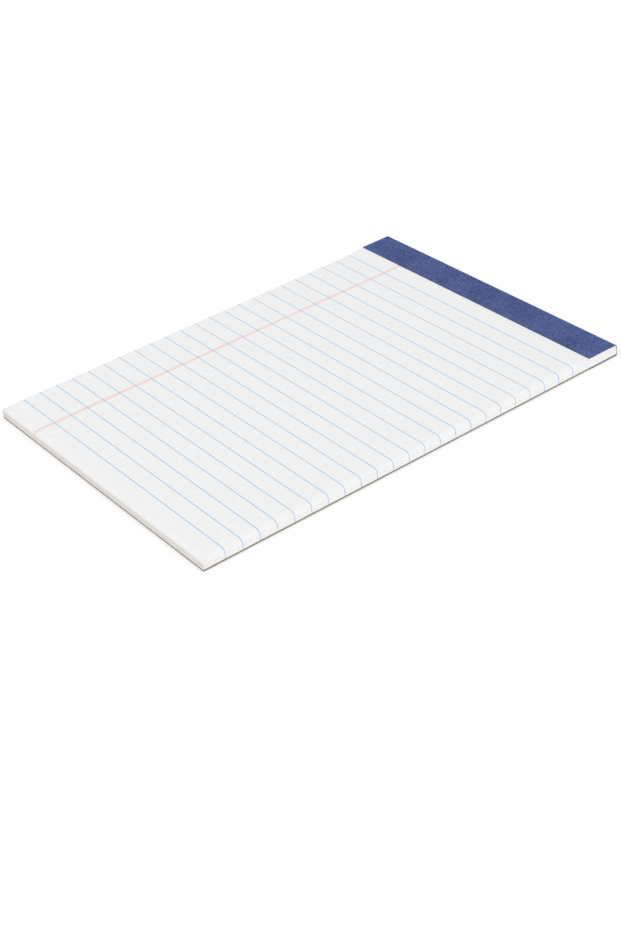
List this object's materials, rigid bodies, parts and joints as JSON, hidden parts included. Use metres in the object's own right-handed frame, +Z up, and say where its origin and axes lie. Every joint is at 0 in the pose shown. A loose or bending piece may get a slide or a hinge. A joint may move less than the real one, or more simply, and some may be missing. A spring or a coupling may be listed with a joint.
{
  "type": "legal pad",
  "caption": "Ruled writing pad: white leaves with blue rules and a red margin on a chipboard back, stapled at the head and bound there in a folded dark blue strip.",
  "frame": {"origin": "on the surface that the pad lies on, under the middle of the closed pad", "axes": "+X across the page to its right edge, +Y up the page to the bound head, +Z up out of the first page"},
  "size_m": [0.148, 0.21, 0.0053],
  "materials": {
    "page_paper": "uncoated white writing paper",
    "chipboard": "unlined grey-brown chipboard",
    "binding_paper": "dark blue fibrous binding paper",
    "blue_ink": "pale blue ruling ink on paper",
    "red_ink": "pale red ruling ink on paper",
    "staple_wire": "galvanised flat wire"
  },
  "bodies": {
    "root": {"sheet_block": "page_paper", "backing_board": "chipboard", "binding_strip": "binding_paper", "blue_rules": "blue_ink", "red_margin": "red_ink", "staple_left": "staple_wire", "staple_right": "staple_wire"}
  },
  "joints": []
}
